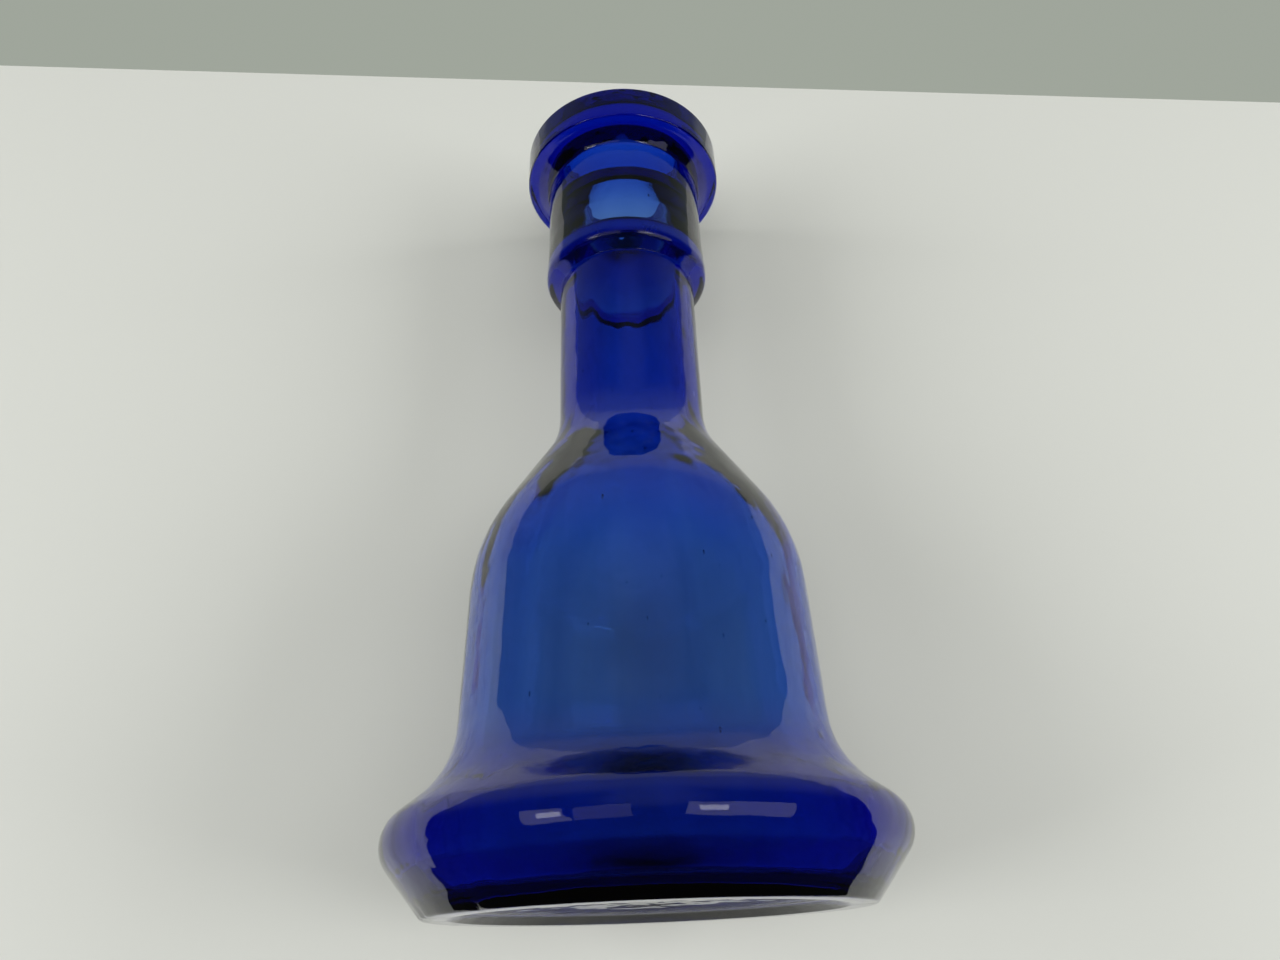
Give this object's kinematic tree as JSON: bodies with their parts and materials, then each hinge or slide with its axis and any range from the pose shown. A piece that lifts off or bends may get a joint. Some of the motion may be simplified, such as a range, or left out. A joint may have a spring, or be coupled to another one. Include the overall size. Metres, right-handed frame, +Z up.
{
  "type": "bell-shaped glass vase",
  "caption": "Bell-shaped cobalt-blue glass vase, the water bowl of a stem pipe: flared skirt, tapering shoulder, narrow neck, collar and a thick flat lip around an open mouth.",
  "frame": {"origin": "centre of the standing ring's flat underside, on the vase's axis", "axes": "+Z up the axis of revolution, from the base to the mouth; +X and +Y square to it at any turn, because the vase is round"},
  "size_m": [0.1396, 0.1396, 0.27],
  "materials": {
    "cobalt_glass": "gloss"
  },
  "bodies": {
    "root": {"glass_vase": "cobalt_glass"}
  },
  "joints": []
}
